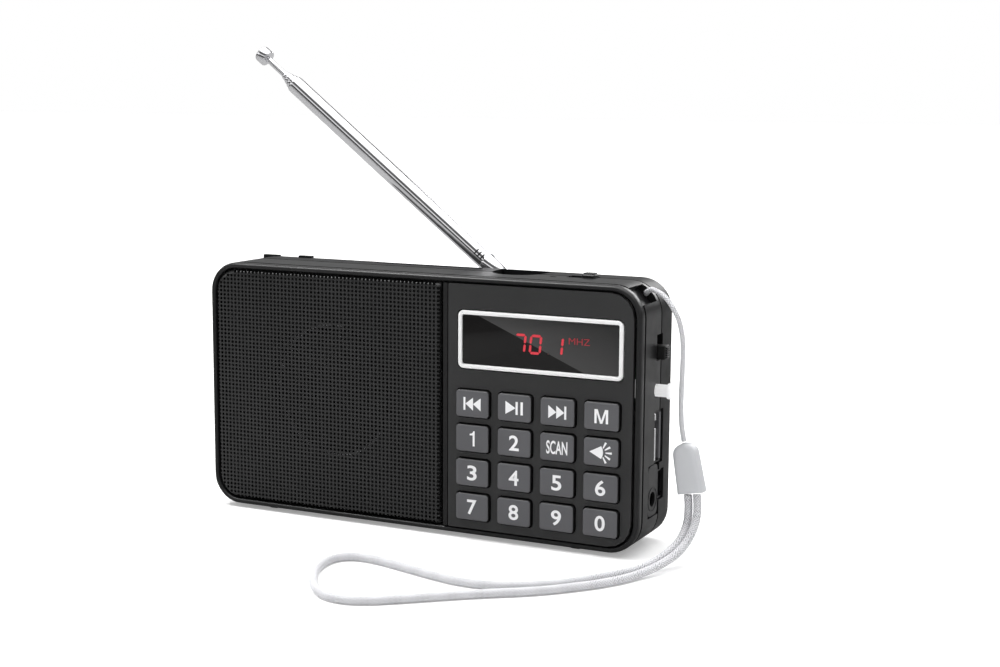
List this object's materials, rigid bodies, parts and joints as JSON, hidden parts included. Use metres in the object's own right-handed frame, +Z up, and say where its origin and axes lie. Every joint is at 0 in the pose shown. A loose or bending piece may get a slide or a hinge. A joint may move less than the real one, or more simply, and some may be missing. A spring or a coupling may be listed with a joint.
{
  "type": "portable digital radio",
  "caption": "Small upright portable radio with perforated speaker grille, LED display, keypad, telescopic antenna, torch lamp, side sockets and wrist strap.",
  "frame": {"origin": "under the middle of the object's box without its strap, at the level of the feet", "axes": "+X to the right along the front, +Y to the back, +Z up; the front faces -Y"},
  "size_m": [0.1398, 0.0903, 0.1255],
  "materials": {
    "case_plastic": "satin moulded ABS",
    "panel_plastic": "satin",
    "black_plastic": "satin",
    "grille_metal": "perforated sheet, black satin paint",
    "white_plastic": "gloss",
    "display_glass": "dark tinted acrylic, gloss",
    "display_led": "black module with red segments",
    "key_plastic": "satin grey",
    "silicone": "matte",
    "circuit_board": "solder mask",
    "plated_steel": "nickel plate",
    "lamp_white": "milky clear",
    "paper_cone": "coated paper",
    "magnet_iron": "ferrite and plate",
    "cell_sleeve": "printed sleeve, plain",
    "antenna_chrome": "polished",
    "strap_braid": "braided cord",
    "clasp_plastic": "satin"
  },
  "bodies": {
    "radio_body": {"front_bezel": "case_plastic", "front_shell": "case_plastic", "rear_shell": "case_plastic", "socket_panel": "case_plastic", "control_panel": "panel_plastic", "divider_strip": "black_plastic", "earphone_jack": "black_plastic", "power_switch_body": "black_plastic", "torch_switch_body": "black_plastic", "battery_tray": "black_plastic", "recess_liner": "black_plastic", "speaker_grille": "grille_metal", "display_frame": "white_plastic", "display_window": "display_glass", "display_module": "display_led", "keypad_membrane": "silicone", "main_board": "circuit_board", "socket_board": "circuit_board", "usb_socket": "plated_steel", "micro_usb_socket": "plated_steel", "case_screw_1": "plated_steel", "case_screw_2": "plated_steel", "case_screw_3": "plated_steel", "case_screw_4": "plated_steel", "speaker_basket": "plated_steel", "battery_contacts": "plated_steel", "torch_lamp": "lamp_white", "speaker_cone": "paper_cone", "speaker_magnet": "magnet_iron", "battery_cell": "cell_sleeve", "strap_cord": "strap_braid", "strap_loop": "strap_braid", "strap_clasp": "clasp_plastic"},
    "antenna_swivel": {"antenna_swivel": "plated_steel", "antenna_pin": "plated_steel"},
    "antenna_outer": {"antenna_knuckle": "plated_steel", "antenna_tube_1": "antenna_chrome"},
    "antenna_section_2": {"antenna_tube_2": "antenna_chrome"},
    "antenna_section_3": {"antenna_tube_3": "antenna_chrome"},
    "antenna_section_4": {"antenna_tube_4": "antenna_chrome"},
    "antenna_rod": {"antenna_tip": "antenna_chrome"},
    "battery_door": {"battery_door": "case_plastic"},
    "power_switch": {"power_switch_knob": "black_plastic"},
    "torch_switch": {"torch_switch_knob": "black_plastic"},
    "key_r1_c1": {"key_r1_c1": "key_plastic"},
    "key_r1_c2": {"key_r1_c2": "key_plastic"},
    "key_r1_c3": {"key_r1_c3": "key_plastic"},
    "key_r1_c4": {"key_r1_c4": "key_plastic"},
    "key_r2_c1": {"key_r2_c1": "key_plastic"},
    "key_r2_c2": {"key_r2_c2": "key_plastic"},
    "key_r2_c3": {"key_r2_c3": "key_plastic"},
    "key_r2_c4": {"key_r2_c4": "key_plastic"},
    "key_r3_c1": {"key_r3_c1": "key_plastic"},
    "key_r3_c2": {"key_r3_c2": "key_plastic"},
    "key_r3_c3": {"key_r3_c3": "key_plastic"},
    "key_r3_c4": {"key_r3_c4": "key_plastic"},
    "key_r4_c1": {"key_r4_c1": "key_plastic"},
    "key_r4_c2": {"key_r4_c2": "key_plastic"},
    "key_r4_c3": {"key_r4_c3": "key_plastic"},
    "key_r4_c4": {"key_r4_c4": "key_plastic"}
  },
  "joints": [
    {"name": "key_r1_c1_press", "type": "slide", "parent": "radio_body", "child": "key_r1_c1", "axis": [0, 1, 0], "range_m": [0, 0.0007], "stiffness_N_per_m": 800},
    {"name": "key_r1_c2_press", "type": "slide", "parent": "radio_body", "child": "key_r1_c2", "axis": [0, 1, 0], "range_m": [0, 0.0007], "stiffness_N_per_m": 800},
    {"name": "key_r1_c3_press", "type": "slide", "parent": "radio_body", "child": "key_r1_c3", "axis": [0, 1, 0], "range_m": [0, 0.0007], "stiffness_N_per_m": 800},
    {"name": "key_r1_c4_press", "type": "slide", "parent": "radio_body", "child": "key_r1_c4", "axis": [0, 1, 0], "range_m": [0, 0.0007], "stiffness_N_per_m": 800},
    {"name": "key_r2_c1_press", "type": "slide", "parent": "radio_body", "child": "key_r2_c1", "axis": [0, 1, 0], "range_m": [0, 0.0007], "stiffness_N_per_m": 800},
    {"name": "key_r2_c2_press", "type": "slide", "parent": "radio_body", "child": "key_r2_c2", "axis": [0, 1, 0], "range_m": [0, 0.0007], "stiffness_N_per_m": 800},
    {"name": "key_r2_c3_press", "type": "slide", "parent": "radio_body", "child": "key_r2_c3", "axis": [0, 1, 0], "range_m": [0, 0.0007], "stiffness_N_per_m": 800},
    {"name": "key_r2_c4_press", "type": "slide", "parent": "radio_body", "child": "key_r2_c4", "axis": [0, 1, 0], "range_m": [0, 0.0007], "stiffness_N_per_m": 800},
    {"name": "key_r3_c1_press", "type": "slide", "parent": "radio_body", "child": "key_r3_c1", "axis": [0, 1, 0], "range_m": [0, 0.0007], "stiffness_N_per_m": 800},
    {"name": "key_r3_c2_press", "type": "slide", "parent": "radio_body", "child": "key_r3_c2", "axis": [0, 1, 0], "range_m": [0, 0.0007], "stiffness_N_per_m": 800},
    {"name": "key_r3_c3_press", "type": "slide", "parent": "radio_body", "child": "key_r3_c3", "axis": [0, 1, 0], "range_m": [0, 0.0007], "stiffness_N_per_m": 800},
    {"name": "key_r3_c4_press", "type": "slide", "parent": "radio_body", "child": "key_r3_c4", "axis": [0, 1, 0], "range_m": [0, 0.0007], "stiffness_N_per_m": 800},
    {"name": "key_r4_c1_press", "type": "slide", "parent": "radio_body", "child": "key_r4_c1", "axis": [0, 1, 0], "range_m": [0, 0.0007], "stiffness_N_per_m": 800},
    {"name": "key_r4_c2_press", "type": "slide", "parent": "radio_body", "child": "key_r4_c2", "axis": [0, 1, 0], "range_m": [0, 0.0007], "stiffness_N_per_m": 800},
    {"name": "key_r4_c3_press", "type": "slide", "parent": "radio_body", "child": "key_r4_c3", "axis": [0, 1, 0], "range_m": [0, 0.0007], "stiffness_N_per_m": 800},
    {"name": "key_r4_c4_press", "type": "slide", "parent": "radio_body", "child": "key_r4_c4", "axis": [0, 1, 0], "range_m": [0, 0.0007], "stiffness_N_per_m": 800},
    {"name": "battery_door_pull", "type": "slide", "parent": "radio_body", "child": "battery_door", "axis": [0, 1, 0], "range_m": [0, 0.01]},
    {"name": "power_switch_slide", "type": "slide", "parent": "radio_body", "child": "power_switch", "axis": [0, 0, 1], "range_m": [0, 0.0024]},
    {"name": "torch_switch_slide", "type": "slide", "parent": "radio_body", "child": "torch_switch", "axis": [-1, 0, 0], "range_m": [0, 0.0034]},
    {"name": "antenna_swivel_turn", "type": "hinge", "parent": "radio_body", "child": "antenna_swivel", "pos_m": [0.01416, 0.0121, 0.0627], "axis": [0, 0, -1], "range_deg": [0, 180]},
    {"name": "antenna_tilt", "type": "hinge", "parent": "antenna_swivel", "child": "antenna_outer", "pos_m": [0.01416, 0.0121, 0.0627], "axis": [0, 1, 0], "range_deg": [-38, 90]},
    {"name": "antenna_extend_1", "type": "slide", "parent": "antenna_outer", "child": "antenna_section_2", "axis": [-0.788, 0, 0.6157], "range_m": [0, 0.068]},
    {"name": "antenna_extend_2", "type": "slide", "parent": "antenna_section_2", "child": "antenna_section_3", "axis": [-0.788, 0, 0.6157], "range_m": [0, 0.068]},
    {"name": "antenna_extend_3", "type": "slide", "parent": "antenna_section_3", "child": "antenna_section_4", "axis": [-0.788, 0, 0.6157], "range_m": [0, 0.068]},
    {"name": "antenna_extend_4", "type": "slide", "parent": "antenna_section_4", "child": "antenna_rod", "axis": [-0.788, 0, 0.6157], "range_m": [0, 0.068]}
  ]
}
